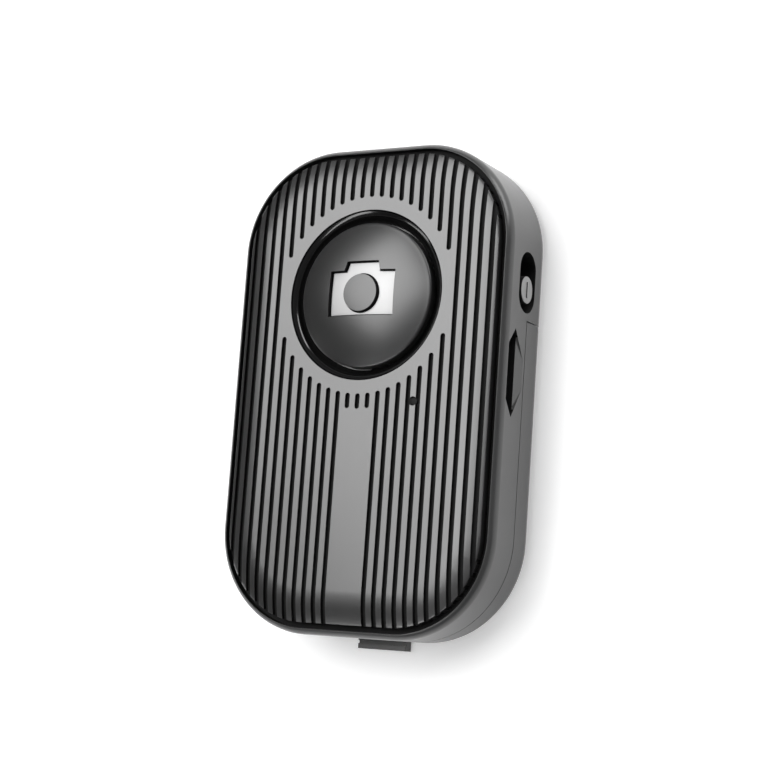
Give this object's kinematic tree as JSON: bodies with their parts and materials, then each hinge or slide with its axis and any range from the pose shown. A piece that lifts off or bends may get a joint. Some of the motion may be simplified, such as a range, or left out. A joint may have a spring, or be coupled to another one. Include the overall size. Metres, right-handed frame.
{
  "type": "bluetooth camera shutter remote",
  "caption": "Pocket camera remote with a domed shutter button, ribbed front cover, side power switch and a hinged rear battery cover with a latch tab.",
  "frame": {"origin": "middle of the body outline, on the back plane that the remote lies on", "axes": "+Z out of the front cover, +Y towards the button end, +X towards the power switch"},
  "size_m": [0.0382, 0.062, 0.0132],
  "materials": {
    "cover_black": "dark satin plastic with a fine soft sheen",
    "housing_grey": "dark grey plastic with a fine spark-eroded grain",
    "bezel_black": "piano black, polished",
    "smoked_lens": "smoked light guide",
    "board_green": "green solder mask on glass-fibre board",
    "switch_black": "moulded switch body",
    "tinned_steel": "tinned sheet steel",
    "spring_steel": "nickel-plated spring strip",
    "chip_black": "epoxy package",
    "ceramic_tan": "ceramic chips",
    "gold_plate": "gold-plated copper track",
    "led_white": "clear epoxy over a white body",
    "cell_steel": "stamped stainless steel",
    "zinc_steel": "zinc-plated steel",
    "pin_steel": "drawn steel wire",
    "button_grey": "satin dark grey plastic",
    "silver_print": "silver-white fill",
    "plunger_red": "moulded plunger",
    "slider_grey": "mid-grey moulded plastic",
    "lever_cream": "moulded lever",
    "foam_dark": "thin soft pad"
  },
  "bodies": {
    "housing": {"front_cover": "cover_black", "main_housing": "housing_grey", "button_bezel": "bezel_black", "light_guide": "smoked_lens", "circuit_board": "board_green", "tact_switch_base": "switch_black", "tact_switch_plate": "tinned_steel", "tact_snap_dome": "spring_steel", "bluetooth_chip": "chip_black", "crystal_can": "tinned_steel", "board_capacitors": "ceramic_tan", "antenna_trace": "gold_plate", "status_led": "led_white", "slide_switch_base": "switch_black", "slide_switch_shell": "tinned_steel", "positive_contact": "spring_steel", "negative_contact": "spring_steel", "coin_cell": "cell_steel", "case_screws": "zinc_steel", "hinge_pin": "pin_steel"},
    "shutter_button": {"shutter_button": "button_grey", "camera_icon_inlay": "silver_print", "tact_plunger": "plunger_red"},
    "power_slider": {"power_slider": "slider_grey", "slide_switch_lever": "lever_cream"},
    "rear_cover": {"rear_cover": "housing_grey", "cell_pad": "foam_dark"}
  },
  "joints": [
    {"name": "button_press", "type": "slide", "parent": "housing", "child": "shutter_button", "axis": [0, 0, -1], "range_m": [0, 0.0004], "stiffness_N_per_m": 400, "springref_m": -0.0005},
    {"name": "power_slide", "type": "slide", "parent": "housing", "child": "power_slider", "axis": [0, 1, 0], "range_m": [0, 0.002]},
    {"name": "cover_hinge", "type": "hinge", "parent": "housing", "child": "rear_cover", "pos_m": [0, 0.0087, 0.0016], "axis": [1, 0, 0], "range_deg": [0, 60]}
  ]
}
